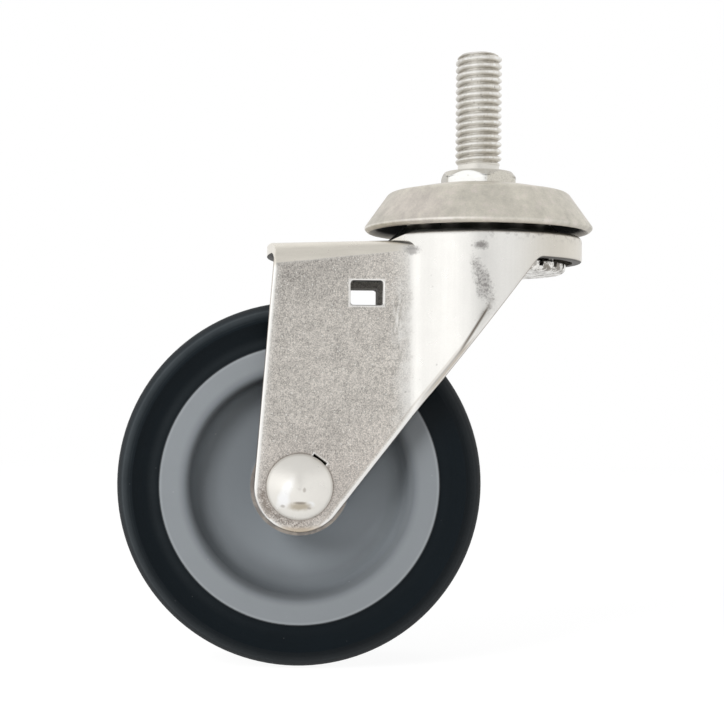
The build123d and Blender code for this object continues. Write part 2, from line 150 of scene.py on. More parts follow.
class CastorFinishes(bpy.types.PropertyGroup):
    """Base colours and wear of the castor's finishes."""

    flat_zinc: bpy.props.FloatVectorProperty(
        name="Flat zinc",
        description="Matt, speckled zinc on the flat legs of the fork",
        default=(0.595, 0.563, 0.522),
        size=3,
        subtype="COLOR",
    )
    drawn_zinc: bpy.props.FloatVectorProperty(
        name="Drawn zinc",
        description="Burnished zinc where the fork's sheet was drawn over the die",
        default=(0.868, 0.855, 0.820),
        size=3,
        subtype="COLOR",
    )
    bent_zinc: bpy.props.FloatVectorProperty(
        name="Bent zinc",
        description="Warm zinc along the web's bend and the skirt of the head",
        default=(0.80, 0.76, 0.68),
        size=3,
        subtype="COLOR",
    )
    cap_zinc: bpy.props.FloatVectorProperty(
        name="Cap zinc",
        description="Satin zinc of the pressed top cap",
        default=(0.74, 0.705, 0.62),
        size=3,
        subtype="COLOR",
    )
    turned_zinc: bpy.props.FloatVectorProperty(
        name="Turned zinc",
        description="Zinc on the turned stem and hex collar",
        default=(0.80, 0.775, 0.72),
        size=3,
        subtype="COLOR",
    )
    hub_grey: bpy.props.FloatVectorProperty(
        name="Hub grey",
        description="Moulded plastic of the wheel's hub",
        default=(0.315, 0.338, 0.358),
        size=3,
        subtype="COLOR",
    )
    tyre_rubber: bpy.props.FloatVectorProperty(
        name="Tyre rubber",
        description="Blue-black rubber of the tyre",
        default=(0.0032, 0.0066, 0.0094),
        size=3,
        subtype="COLOR",
    )
    # Also scales painted highlights, reflections and shade on the collar, fork, rivet and tyre
    wear_and_painted_light: bpy.props.FloatProperty(
        name="Wear",
        description="Strength of smudges, specks and handling marks",
        default=1.0,
        min=0.0,
        max=2.0,
        subtype="FACTOR",
    )


class CastorStudio(bpy.types.PropertyGroup):
    """Light, floor and camera of the studio."""

    key_power: bpy.props.FloatProperty(
        name="Key power",
        description="Power of the large softbox on the upper left",
        default=5.8,
        unit="POWER",
    )
    fill_power: bpy.props.FloatProperty(
        name="Fill power",
        description="Power of the softbox on the right",
        default=0.25,
        unit="POWER",
    )
    top_power: bpy.props.FloatProperty(
        name="Top power",
        description="Power of the softbox overhead",
        default=2.2,
        unit="POWER",
    )
    room_ambient: bpy.props.FloatProperty(
        name="Room light",
        description="Brightness of the room as it lights matt surfaces",
        default=0.12,
    )
    room_left: bpy.props.FloatProperty(
        name="Room on the left",
        description="Brightness of the left wall as metal mirrors it",
        default=1.10,
    )
    room_right: bpy.props.FloatProperty(
        name="Room on the right",
        description="Brightness of the right wall as metal mirrors it",
        default=0.92,
    )
    room_front: bpy.props.FloatProperty(
        name="Room in front",
        description="Brightness of the dark strip behind the camera as metal mirrors it",
        default=0.60,
    )
    room_window: bpy.props.FloatProperty(
        name="Window",
        description="Extra brightness of the bright panel on the left as metal mirrors it",
        default=0.23,
    )
    room_ceiling: bpy.props.FloatProperty(
        name="Ceiling",
        description="Brightness of the ceiling as metal mirrors it",
        default=0.74,
    )
    lens: bpy.props.FloatProperty(
        name="Lens",
        description="Focal length on a 36 mm sensor",
        default=73.55,
        unit="CAMERA",
    )
    camera_place: bpy.props.FloatVectorProperty(
        name="Camera place",
        description="Where the camera stands",
        default=(-36.606 * MM, -311.446 * MM, -43.847 * MM),
        size=3,
        subtype="TRANSLATION",
        precision=5,
    )
    camera_turn: bpy.props.FloatVectorProperty(
        name="Camera turn",
        description="Camera yaw towards +X, pitch upwards and roll",
        default=(math.radians(2.259), math.radians(0.676), math.radians(0.433)),
        size=3,
        subtype="EULER",
        precision=4,
    )


class Value:
    """A number on a socket; arithmetic on it adds Math nodes."""

    def __init__(self, recipe, socket):
        self.recipe = recipe
        self.socket = socket

    def _math(self, operation, *terms):
        made = self.recipe.node(
            "ShaderNodeMath", {"operation": operation}, dict(enumerate(terms))
        )
        return Value(self.recipe, made.outputs[0])

    def __add__(self, other):
        return self._math("ADD", self, other)

    def __radd__(self, other):
        return self._math("ADD", other, self)

    def __sub__(self, other):
        return self._math("SUBTRACT", self, other)

    def __rsub__(self, other):
        return self._math("SUBTRACT", other, self)

    def __mul__(self, other):
        return self._math("MULTIPLY", self, other)

    def __rmul__(self, other):
        return self._math("MULTIPLY", other, self)

    def __truediv__(self, other):
        return self._math("DIVIDE", self, other)

    def __rtruediv__(self, other):
        return self._math("DIVIDE", other, self)

    def __pow__(self, other):
        return self._math("POWER", self, other)

    def __rpow__(self, other):
        return self._math("POWER", other, self)

    def __abs__(self):
        return self._math("ABSOLUTE", self)

    def least(self, other):
        """The smaller of the two."""
        return self._math("MINIMUM", self, other)

    def most(self, other):
        """The larger of the two."""
        return self._math("MAXIMUM", self, other)

    def root(self):
        """The square root."""
        return self._math("SQRT", self)

    def step(self, start, end):
        """0 up to start, 1 from end on, eased between them."""
        made = self.recipe.node(
            "ShaderNodeMapRange",
            {"interpolation_type": "SMOOTHSTEP", "clamp": True},
            {0: self, 1: start, 2: end, 3: 0.0, 4: 1.0},
        )
        return Value(self.recipe, made.outputs[0])

    def bump(self, centre, half_width):
        """1 at the centre, fading to 0 at half_width on each side."""
        return 1.0 - abs(self - centre).step(0.0, half_width)


class Recipe:
    """The nodes of one material or world, with object coordinates in millimetres."""

    def __init__(self, owner):
        owner.use_nodes = True
        self.tree = owner.node_tree
        self.tree.nodes.clear()
        self._place = None

    def node(self, kind, settings=None, sockets=None):
        """Add a node: its settings first, then its sockets by name or number."""
        made = self.tree.nodes.new(kind)
        for name, value in (settings or {}).items():
            setattr(made, name, value)
        for name, value in (sockets or {}).items():
            socket = made.inputs[name]
            if isinstance(value, Value):
                value = value.socket
            if isinstance(value, bpy.types.NodeSocket):
                self.tree.links.new(value, socket)
            elif socket.type == "RGBA" and len(value) == 3:
                socket.default_value = (*value, 1.0)
            else:
                socket.default_value = value
        return made

    @property
    def place(self):
        """Object coordinates in millimetres."""
        if self._place is None:
            coordinates = self.node("ShaderNodeTexCoord").outputs["Object"]
            self._place = self.scaled(coordinates, 1.0 / MM)
        return self._place

    def scaled(self, vector, factor):
        """A vector or colour times one number."""
        return self.node(
            "ShaderNodeVectorMath", {"operation": "SCALE"}, {0: vector, "Scale": factor}
        ).outputs[0]

    def stretched(self, vector, factors):
        """A vector times a factor for each of X, Y and Z."""
        return self.node(
            "ShaderNodeVectorMath", {"operation": "MULTIPLY"}, {0: vector, 1: factors}
        ).outputs[0]

    def parts(self, vector):
        """The X, Y and Z of a vector."""
        split = self.node("ShaderNodeSeparateXYZ", None, {0: vector})
        return [Value(self, socket) for socket in split.outputs]

    def facing(self):
        """The X, Y and Z of the surface normal in object space, before any bump."""
        return self.parts(self.node("ShaderNodeTexCoord").outputs["Normal"])

    def joined(self, x, y, z):
        """A vector of three values."""
        return self.node("ShaderNodeCombineXYZ", None, {0: x, 1: y, 2: z}).outputs[0]

    def noise(self, size, detail=2.0, rough=0.5, vector=None, warp=0.0):
        """Cloudy noise from 0 to 1 whose blots are about size millimetres."""
        made = self.node(
            "ShaderNodeTexNoise",
            None,
            {
                "Vector": self.place if vector is None else vector,
                "Scale": 1.0 / size,
                "Detail": detail,
                "Roughness": rough,
                "Distortion": warp,
            },
        )
        return Value(self, made.outputs["Fac"])

    def cells(self, size):
        """Distance to scattered points about size millimetres apart, 0 at each point."""
        made = self.node(
            "ShaderNodeTexVoronoi",
            {"feature": "F1"},
            {"Vector": self.place, "Scale": 1.0 / size},
        )
        return Value(self, made.outputs["Distance"])

    def spot(self, across, up, centre, size, ragged=0.0):
        """1 at a spot on the plane of two values, fading to 0 at its size in millimetres."""
        away = ((across - centre[0]) / size[0]) ** 2.0 + ((up - centre[1]) / size[1]) ** 2.0
        return 1.0 - (away.root() + ragged).step(0.3, 1.0)

    def blend(self, factor, first, second):
        """A colour between first and second."""
        made = self.node(
            "ShaderNodeMix",
            {"data_type": "RGBA", "clamp_factor": True},
            {0: factor, 6: first, 7: second},
        )
        return made.outputs[2]

    def tinted(self, colour, factor):
        """A colour brightened or darkened by a value, 1 leaving it alone."""
        return self.scaled(colour, factor)

    def relief(self, height, depth_mm):
        """Bump from a height of 0 to 1 that stands depth_mm proud."""
        sockets = {"Height": height, "Distance": depth_mm * MM, "Strength": 1.0}
        return self.node("ShaderNodeBump", None, sockets).outputs[0]

    def finish(self, colour, roughness, metallic, normal, **more):
        """Join everything into the surface of the material."""
        sockets = {
            "Base Color": colour,
            "Roughness": roughness,
            "Metallic": metallic,
            "Normal": normal,
        }
        sockets.update({name.replace("_", " "): value for name, value in more.items()})
        surface = self.node("ShaderNodeBsdfPrincipled", None, sockets)
        self.node("ShaderNodeOutputMaterial", None, {"Surface": surface.outputs[0]})


def colour_of(values):
    """A colour property as plain numbers."""
    return tuple(values)


def from_axle(x, z):
    """Distance from the wheel's axle on the side view, in millimetres."""
    return ((x - AXLE_X) ** 2.0 + (z - AXLE_Z) ** 2.0).root()


def near_side(y):
    """1 on the half of the castor towards -Y, 0 on the other."""
    return 1.0 - y.step(-2.0, 2.0)


def new_recipe(name):
    """A fresh material and its recipe."""
    material = bpy.data.materials.new(name)
    return material, Recipe(material)


def dress(node, material):
    """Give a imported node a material."""
    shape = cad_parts[node]
    shape.data.materials.clear()
    shape.data.materials.append(material)


def skin_of_rings(name, rings):
    """A mesh through rings of points, each a list of (x, y, z) in millimetres."""
    shape = bmesh.new()
    rows = [[shape.verts.new(Vector(point) * MM) for point in level] for level in rings]
    for lower, upper in zip(rows, rows[1:]):
        count = max(len(lower), len(upper))
        for index in range(count):
            after = (index + 1) % count
            if len(lower) == 1:
                shape.faces.new((lower[0], upper[after], upper[index]))
            elif len(upper) == 1:
                shape.faces.new((lower[index], lower[after], upper[0]))
            else:
                shape.faces.new((lower[index], lower[after], upper[after], upper[index]))
    bmesh.ops.recalc_face_normals(shape, faces=shape.faces)
    mesh = bpy.data.meshes.new(name)
    shape.to_mesh(mesh)
    shape.free()
    piece = bpy.data.objects.new(name, mesh)
    bpy.context.scene.collection.objects.link(piece)
    mesh.shade_smooth()
    return piece


def ring(radius, height):
    """A level circle, in millimetres, starting on +X."""
    angles = (2 * math.pi * index / STEM_SIDES for index in range(STEM_SIDES))
    return [(radius * math.cos(angle), radius * math.sin(angle), height) for angle in angles]


def thread_dip(phase):
    """How far below the crest the thread lies, 0 to 1, at a phase of 0 to 1 from the crest."""
    away = abs((phase + 0.5) % 1.0 - 0.5) * 2
    slope = min(max((away - 0.14) / 0.76, 0.0), 1.0)
    return 0.6 * slope**1.25 + 0.4 * slope**3


def threaded_rings(sizes, bottom, top):
    """Rings of the stem from its neck to its chamfered end, with a right-hand thread."""
    pitch = sizes.thread_pitch / MM
    depth = sizes.thread_depth / MM
    neck = sizes.neck_diameter / MM / 2
    start = sizes.thread_start / MM
    rings = []
    count = round((top - bottom) / pitch * ROWS_PER_PITCH)
    for row in range(count + 1):
        height = bottom + (top - bottom) * row / count
        lead_in = min(max((height - start) / (0.7 * pitch), 0.0), 1.0)
        to_end = top - height
        points = []
        for index in range(STEM_SIDES):
            angle = 2 * math.pi * index / STEM_SIDES
            phase = (height - CREST_ON_X) / pitch - angle / (2 * math.pi)
            cut = CREST_RADIUS - thread_dip(phase % 1.0) * depth
            radius = neck + (cut - neck) * lead_in
            wobble = 0.10 * math.sin(3 * angle + 0.7) + 0.07 * math.sin(5 * angle + 2.1)
            chamfer = CREST_RADIUS - 1.15 + 1.25 * max(to_end + wobble, 0.0) ** 0.8
            radius = min(radius, max(chamfer, neck - depth))
            points.append((radius * math.cos(angle), radius * math.sin(angle), height))
        rings.append(points)
    return rings


def hex_radius(angle, across, corner_angle, rounding):
    """Distance from the axis to a hexagon's rounded outline."""
    turn = (angle - corner_angle) % (math.pi / 3) - math.pi / 6
    flat = across / 2 / math.cos(turn)
    corner = across / 2 / math.cos(math.pi / 6) - rounding
    over = flat - corner
    if over <= -rounding:
        return flat
    ease = (over + rounding) / (2 * rounding)
    return corner - rounding + 2 * rounding * (ease - 0.45 * ease * ease)


def collar_rings(rounding):
    """Rings of the hex collar, from its foot to the inner end of its bevelled top."""
    angles = [2 * math.pi * index / STEM_SIDES for index in range(STEM_SIDES)]
    outline = [hex_radius(angle, HEX_ACROSS, HEX_CORNER, rounding) for angle in angles]
    level = HEX_ACROSS / 2 - BEVEL_REACH

    def upright(share, height):
        """The outline at a share of its size."""
        return [
            (edge * share * math.cos(angle), edge * share * math.sin(angle), height)
            for angle, edge in zip(angles, outline)
        ]

    def bevelled(share, drop=0.0):
        """A ring on the bevel, from its inner end at 0 to the outline at 1."""
        points = []
        for angle, edge in zip(angles, outline):
            radius = level + (edge - level) * share
            height = -max(radius - level, 0.0) * HEX_BEVEL - 0.12 * share**6 - drop
            points.append((radius * math.cos(angle), radius * math.sin(angle), height))
        return points

    rings = [upright(0.985, CAP_TOP)]
    for height in (CAP_TOP + 0.12, CAP_TOP + 0.3, -2.2, -1.2):
        rings.append(upright(1.0, height))
    rings.append(bevelled(1.0, 0.2))
    for share in (1.0, 0.93, 0.8, 0.6, 0.4, 0.2, 0.0):
        rings.append(bevelled(share))
    return rings


class CASTOR_OT_stem(bpy.types.Operator):
    """Turned kingpin with its hex collar and a right-hand thread cut on the stem"""

    bl_idname = "castor.stem"
    bl_label = "Threaded Stem"

    def execute(self, context):
        sizes = context.scene.castor_sizes
        neck = sizes.neck_diameter / MM / 2
        rings = [[(0.0, 0.0, PIN_END)]]
        for radius, height in (
            (4.6, PIN_END),
            (6.2, PIN_END + 0.12),
            (6.75, PIN_END + 0.55),
            (KINGPIN_HEAD, CUP_BOTTOM - 0.15),
            (KINGPIN_HEAD - 0.1, CUP_BOTTOM),
            (KINGPIN_NECK, CUP_BOTTOM),
            (KINGPIN_NECK, CUP_BOTTOM + KINGPIN_NECK_LENGTH),
            (KINGPIN_RADIUS, CUP_BOTTOM + KINGPIN_NECK_LENGTH),
            (KINGPIN_RADIUS, CAP_TOP),
        ):
            rings.append(ring(radius, height))
        rings.extend(collar_rings(sizes.hex_rounding / MM))
        for radius, height in (
            (6.2, 0.0),
            (5.2, 0.0),
            (neck + 0.25, 0.02),
            (neck + 0.05, 0.18),
        ):
            rings.append(ring(radius, height))
        rings.extend(threaded_rings(sizes, 0.4, STEM_TOP - 0.02))
        rings.append(ring(CREST_RADIUS - 1.35, STEM_TOP))
        rings.append([(0.0, 0.0, STEM_TOP)])
        piece = skin_of_rings("threaded_stem", rings)
        piece.data.set_sharp_from_angle(angle=math.radians(38))
        piece.data.materials.append(turned_zinc(context))
        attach(piece, "mount")
        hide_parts("kingpin_stem")
        return {"FINISHED"}


def turned_zinc(context):
    """Zinc on turned steel: tool rings, painted shade in the thread roots, painted highlights on
    the crests and in a band down the thread.
    """
    finishes = context.scene.castor_finishes
    material, make = new_recipe("turned_zinc")
    x, y, z = make.parts(make.place)
    radius = (x * x + y * y).root()
    thread = z.step(1.2, 2.0)
    root = thread * (1.0 - radius.step(4.0, 4.65))
    crest = thread * radius.step(4.60, 4.84)
    cloud = make.noise(1.6, 4.0, 0.6)
    rings = make.noise(0.5, 3.0, 0.6, make.stretched(make.place, (0.25, 0.25, 1.6)))
    speck = make.cells(1.3).step(0.10, 0.22)
    fine = make.noise(0.22, 2.0, 0.6)
    glints = make.noise(1.1, 3.0, 0.7, make.stretched(make.place, (1.0, 1.0, 0.5)))
    bare = colour_of(finishes.turned_zinc)
    # Painted shade in the thread roots, and painted highlights in a band left of the thread's
    # middle and on its crests
    highlight_band = thread * abs(x + 1.3).bump(0.0, 2.9)
    colour = make.blend(root * 0.6, bare, (0.52, 0.485, 0.43))
    colour = make.blend(highlight_band * (0.25 + glints * 0.7), colour, GLINT)
    colour = make.blend(crest * glints.step(0.35, 0.65) * 0.8, colour, GLINT)

    # Painted light on the collar: four of its faces have a colour of their own for how they are
    # lit, and three of its corners a painted highlight line
    collar = (1.0 - z.step(-0.4, 0.1)) * radius.step(6.4, 7.0) * z.step(-4.0, -3.6)
    faces = (
        (math.radians(-115.0), (1.0, 1.0, 0.975)),
        (math.radians(-55.0), (0.745, 0.715, 0.635)),
        (math.radians(5.0), (0.72, 0.70, 0.64)),
        (math.radians(185.0), (0.52, 0.50, 0.45)),
    )
    nx, ny, nz = make.facing()
    for angle, shade in faces:
        toward = (nx * math.cos(angle) + ny * math.sin(angle)).step(0.88, 0.95)
        colour = make.blend(toward * collar * 0.9, colour, shade)
    corners = None
    for angle in (math.radians(-145.0), math.radians(-85.0), math.radians(-25.0)):
        off = x * math.sin(angle) - y * math.cos(angle)
        line = off.bump(0.0, 0.42) * (x * math.cos(angle) + y * math.sin(angle)).step(0.0, 1.0)
        corners = line if corners is None else corners.most(line)
    colour = make.blend(corners * collar * 0.6, colour, (0.98, 0.98, 0.95))
    # Painted shade: the upward-facing bevel darker all round
    bevel = nz.step(0.30, 0.55) * radius.step(6.7, 7.3) * (1.0 - z.step(0.2, 0.4))
    colour = make.blend(bevel * 0.65, colour, (0.60, 0.57, 0.50))
    # Painted shade on the collar's +X side, broken up by noise
    dull = collar * (x + cloud * 0.6).step(0.9, 1.5) * fine.step(0.5, 0.62)
    colour = make.blend(dull * 0.4 * finishes.wear_and_painted_light, colour, (0.40, 0.37, 0.32))
    colour = make.blend((1.0 - speck) * 0.30 * finishes.wear_and_painted_light, colour, (0.24, 0.21, 0.18))
    # Painted light on the thread: lighter towards +X, darker towards -X
    side_shade = x.step(0.5, 4.0) * 0.08 - (1.0 - x.step(-4.0, -1.0)) * 0.09
    shade = 0.80 + cloud * 0.20 + rings * 0.18 + thread * side_shade
    colour = make.tinted(colour, shade)
    rough = 0.28 + cloud * 0.2 + thread * 0.10
    normal = make.relief(fine * 0.4 + cloud * 0.4 + rings * 0.2, 0.05)
    make.finish(colour, rough, PLATED, normal)
    return material


def leg_zinc(context):
    """Zinc on the pressed fork: speckled flats with painted glints, burnished draws, rolled edges
    with painted highlights and painted shade inside.
    """
    finishes = context.scene.castor_finishes
    wear_and_painted_light = finishes.wear_and_painted_light
    material, make = new_recipe("fork_zinc")
    x, y, z = make.parts(make.place)
    nx, ny, nz = make.facing()
    grain = make.noise(0.27, 2.0, 0.65)
    coarse = make.noise(1.0, 2.0, 0.6)
    worn = make.noise(0.62, 3.0, 0.7, warp=1.2)
    cloud = make.noise(9.0, 3.0, 0.55)
    drift = make.noise(2.6, 3.0, 0.6)
    near = near_side(y)
    below_head = 1.0 - z.step(-20.5, -19.3)

    # Painted shade inside the legs and under the web; the flat legs, the web's bend and the skirt
    # of the head
    inside = 1.0 - (ny * y + nx * x.most(0.0)).step(-4.0, 0.0)
    under = (1.0 - nz.step(-0.8, -0.4)) * z.step(-26.0, -24.0)
    inner_shade = (inside * 0.30).most(under * 0.9)
    edge_x = x + (drift - 0.5) * 5.0 + (coarse - 0.5) * 2.0
    face = 1.0 - edge_x.step(BLEND_START - 1.2, BLEND_END + 1.6)
    web = z.step(-26.0, -24.0)
    flat = abs(ny).step(0.93, 0.995) * (1.0 - web) + abs(ny).step(0.985, 0.9995) * web
    flat = flat * face
    bend = (1.0 - x.step(BLEND_START, BLEND_END)) * z.step(-23.5, -22.5) * (1.0 - flat)
    skirt = x.step(3.0, 14.0)

    # Base colours of those parts
    drawn_zinc, bent_zinc = colour_of(finishes.drawn_zinc), colour_of(finishes.bent_zinc)
    colour = make.blend(skirt.most(bend), drawn_zinc, bent_zinc)
    colour = make.blend(flat, colour, colour_of(finishes.flat_zinc))
    low = (1.0 - z.step(-68.0, -46.0)) * flat
    colour = make.blend(low * (0.35 + cloud * 0.4), colour, (0.575, 0.525, 0.485))

    # Speckle on the flats, streaks of drawing and rolling elsewhere
    speckle = 0.85 + grain.step(0.32, 0.68) * 0.48 + (coarse - 0.5) * 0.28
    speckle = speckle - worn.step(0.42, 0.62) * 0.31
    mottle = speckle + (cloud - 0.5) * 0.32 + (drift - 0.5) * 0.24
    # Painted shade: the upper rear of the legs darker, the front a little lighter
    mottle = mottle - z.step(-31.0, -23.0) * (1.0 - x.step(-34.0, -22.0)) * 0.13
    mottle = mottle * (1.0 + x.step(-34.0, -20.0) * 0.07)
    drawn = make.noise(0.9, 2.0, 0.5, make.stretched(make.place, (1.0, 1.0, 0.04)))
    rolled = make.noise(0.7, 3.0, 0.6, make.stretched(make.place, (0.08, 1.0, 1.0)))
    calm = 1.0 + (drawn - 0.5) * 0.08 + (cloud - 0.5) * 0.08 + (grain - 0.5) * 0.10
    streaked = 1.0 + (rolled - 0.5) * 0.22 + (grain - 0.5) * 0.12
    calm = calm + (streaked - calm) * bend
    colour = make.tinted(colour, mottle * flat + calm * (1.0 - flat) * (1.0 - skirt * 0.10))
    # Painted glints on the flats, more of them in a cluster above the rivet
    glint_cluster = make.spot(x, z, (-34.8, -57.2), (2.8, 1.0)) * 0.12
    glint = (1.0 - make.cells(0.95).step(0.10 + glint_cluster, 0.22 + glint_cluster)) * flat
    colour = make.blend(glint * 0.65 * worn.step(0.35, 0.6), colour, HIGHLIGHT_ZINC)

    # Scores beside the head, grey smudges, scuffs and pits from handling, and two dark patches on
    # the head that are painted reflections
    scores = make.noise(0.5, 3.0, 0.7, make.stretched(make.place, (1.0, 1.0, 0.12)))
    scored = (x + drift * 1.5).bump(-17.2, 1.7) * z.bump(-31.5, 9.0) * near
    colour = make.blend(scored * scores.step(0.50, 0.62) * 0.5 * wear_and_painted_light, colour, (0.42, 0.39, 0.35))
    colour = make.blend(scored * scores.step(0.52, 0.42) * 0.6 * wear_and_painted_light, colour, GLINT)
    ragged = (drift - 0.5) * 1.1 + (coarse - 0.5) * 1.0 + (grain - 0.5) * 0.6
    across = (x + 1.4) * 0.94 + (z + 24.2) * 0.34
    along = (x + 1.4) * 0.34 - (z + 24.2) * 0.94
    dots = 0.50 + make.noise(0.40, 2.0, 0.7).step(0.44, 0.60) * 0.50
    # Painted reflections: two dark patches on the head, joined with scuffs along its top edge and
    # a smudge further back
    smudges_and_reflections = make.spot(x, z, (-1.7, -17.2), (1.7, 1.2), ragged * 0.8) * (dots + 0.35).least(1.0)
    smudges_and_reflections = smudges_and_reflections.most(make.spot(across, along, (0.0, 0.0), (2.3, 6.4), ragged) * dots)
    scuffs = z.bump(-14.9, 1.5) * x.step(-3.0, 0.0) * coarse.step(0.50, 0.62)
    smudges_and_reflections = (smudges_and_reflections * 0.80).most(scuffs * 0.30 * nz.step(-0.5, 0.2))
    smudges_and_reflections = smudges_and_reflections.most(make.spot(x, z, (-15.3, -18.0), (2.4, 1.3), ragged) * 0.55)
    colour = make.blend(smudges_and_reflections * near * wear_and_painted_light, colour, (0.20, 0.185, 0.18))
    pits = (1.0 - make.cells(3.4).step(0.035, 0.10)) * (0.20 + drift * 0.25)
    colour = make.blend(pits * wear_and_painted_light, colour, (0.26, 0.235, 0.215))

    # Edges of the leg: painted sheen and highlights on the rolled edges, and painted shade along
    # the fold line at the front
    rear = (AXLE_X - x) * math.cos(LEG_REAR_LEAN) + (z - AXLE_Z) * math.sin(LEG_REAR_LEAN)
    front = (x - AXLE_X) * math.cos(LEG_FRONT_LEAN) - (z - AXLE_Z) * math.sin(LEG_FRONT_LEAN)
    out = from_axle(x, z)
    end = out * (1.0 - z.step(AXLE_Z - 6.5, AXLE_Z - 5.0))
    skin = abs(y).step(LEG_FACE - 1.6, LEG_FACE - 1.0) * (1.0 - z.step(-22.0, -20.5))
    lower = 1.0 - z.step(-50.0, -44.0)
    edge = rear.most(end).most(front * lower) + (coarse - 0.5) * 0.2
    sheen = edge.step(LEG_END_RADIUS - 2.2, LEG_END_RADIUS - 0.4) * skin
    colour = make.blend(sheen * 0.35, colour, (0.97, 0.95, 0.91))
    turn = 1.0 - z.step(AXLE_Z - 9.0, AXLE_Z - 3.0)
    # Painted highlight along the rolled edges
    bright = (edge - turn * 0.3).step(LEG_END_RADIUS - 1.0, LEG_END_RADIUS - 0.62) * skin
    colour = make.blend(bright * 0.92, colour, HIGHLIGHT_ZINC)
    inner_line = front.bump(LEG_END_RADIUS - 1.35, 0.35) * skin * (1.0 - z.step(-40.0, -33.0))
    colour = make.blend(inner_line * 0.35, colour, (0.42, 0.36, 0.30))
    # Painted shade along the front fold line, broader and dotted near z -30
    fold = front + (z + 38.0).most(0.0) * 0.13
    fold_line = fold.bump(LEG_END_RADIUS - 0.88, 0.46) * (1.0 - lower) * below_head
    fades = (1.0 - z.step(-30.5, -28.0)) * (0.6 + z.step(-41.0, -34.0) * 0.4)
    rubbed = fold.bump(LEG_END_RADIUS - 0.95, 0.9) * z.bump(-30.0, 3.0) * dots * near
    fold_line = (fold_line * fades).most(rubbed * 0.7)
    colour = make.blend(fold_line * 0.95, colour, (0.13, 0.105, 0.08))
    browned = front.bump(LEG_END_RADIUS - 0.5, 0.35) * (1.0 - lower)
    browned = browned * (1.0 - z.step(-38.0, -34.0))
    colour = make.blend(browned * 0.6, colour, (0.45, 0.36, 0.26))
    # Painted shade along the cut edges
    cut = rear.most(end).most(front).step(LEG_END_RADIUS - 0.22, LEG_END_RADIUS - 0.08)
    colour = make.blend(cut * 0.8 * (1.0 - inner_shade) * below_head, colour, (0.34, 0.28, 0.22))
    # Painted tan reflection along the lower edge of the leg's end
    stain_and_reflection = (end + (drift - 0.5) * 1.5).step(LEG_END_RADIUS - 1.7, LEG_END_RADIUS - 0.6)
    stain_and_reflection = stain_and_reflection * (1.0 - z.step(AXLE_Z - 8.8, AXLE_Z - 7.2))
    stain_and_reflection = stain_and_reflection * x.step(AXLE_X - 6.5, AXLE_X - 3.5)
    colour = make.blend(stain_and_reflection * 0.85, colour, (0.56, 0.46, 0.34))

    # Around the rivet, the key notch and the slot: dark blots, a painted contact shadow, lit rims
    # and painted near-black shade on the walls round the axle
    around = out.bump(7.6, 1.2) * (1.0 - z.step(AXLE_Z - 2.0, AXLE_Z + 2.0))
    blots = around * (1.0 - (x - AXLE_X).step(0.0, 4.0)) * (worn + drift * 0.4).step(0.60, 0.78)
    contact_shadow = out.bump(6.6, 0.45) * (0.35 + drift * 0.5)
    colour = make.blend((blots * 0.75).most(contact_shadow) * wear_and_painted_light, colour, (0.24, 0.20, 0.17))
    key_out = (x - AXLE_X) * KEY_AXIS[0] + (z - AXLE_Z) * KEY_AXIS[1]
    key_side = abs((z - AXLE_Z) * KEY_AXIS[0] - (x - AXLE_X) * KEY_AXIS[1])
    key_rim = (key_side - KEY_HALF).most(key_out - KEY_REACH)
    lit_rim = key_rim.bump(0.22, 0.30) * key_out.step(5.6, 5.9) * near
    slot_rim = (abs(x - SLOT_X) - SLOT_HALF[0]).most(abs(z - SLOT_Z) - SLOT_HALF[1])
    lit_rim = lit_rim.most(slot_rim.bump(0.26, 0.34) * 0.8) * abs(ny).step(0.5, 0.8)
    colour = make.blend(lit_rim * 0.85, colour, (0.98, 0.97, 0.94))
    # Painted near-black shade on the walls of the hole and notch round the axle
    notch_shade = (1.0 - out.step(7.3, 7.5)) * (1.0 - abs(ny).step(0.3, 0.6))
    colour = make.blend(notch_shade, colour, (0.02, 0.02, 0.02))
    # Painted near-black shade inside the legs and under the web
    colour = make.blend(inner_shade, colour, (0.055, 0.052, 0.050))

    rough = flat * (0.40 + grain * 0.22) + (1.0 - flat) * (0.22 + drift * 0.16)
    rough = rough + smudges_and_reflections * 0.2 + inner_shade * 0.25
    bumps = grain * flat + coarse * 0.4 + drift * 0.25
    make.finish(colour, rough, PLATED, make.relief(bumps, 0.03))
    return material


def plain_metal(name, base, rough, spread=0.12):
    """A metal with a fine grain, cloudy shade and small relief."""
    material, make = new_recipe(name)
    cloud = make.noise(3.5, 4.0, 0.6)
    grain = make.noise(0.5, 3.0, 0.6)
    colour = make.tinted(base, 1.0 - spread + cloud * 2 * spread)
    make.finish(colour, rough + (grain - 0.5) * 0.2, PLATED, make.relief(grain, 0.012))
    return material


def dull_washer(context):
    """Dull, browned zinc of the thrust washers, near-black with painted shade around the rivet.
    """
    material, make = new_recipe("washer_steel")
    x, _, z = make.parts(make.place)
    out = from_axle(x, z)
    cloud = make.noise(2.2, 4.0, 0.6)
    grain = make.noise(0.4, 3.0, 0.6)
    colour = make.blend(cloud.step(0.35, 0.65), (0.40, 0.36, 0.32), (0.26, 0.24, 0.225))
    # Painted shade: near-black around the rivet
    rivet_shade = 1.0 - (out + cloud * 0.6).step(9.0, 9.5)
    colour = make.blend(rivet_shade, colour, (0.012, 0.011, 0.010))
    make.finish(colour, 0.45 + (grain - 0.5) * 0.2, 0.9, make.relief(grain, 0.012))
    return material


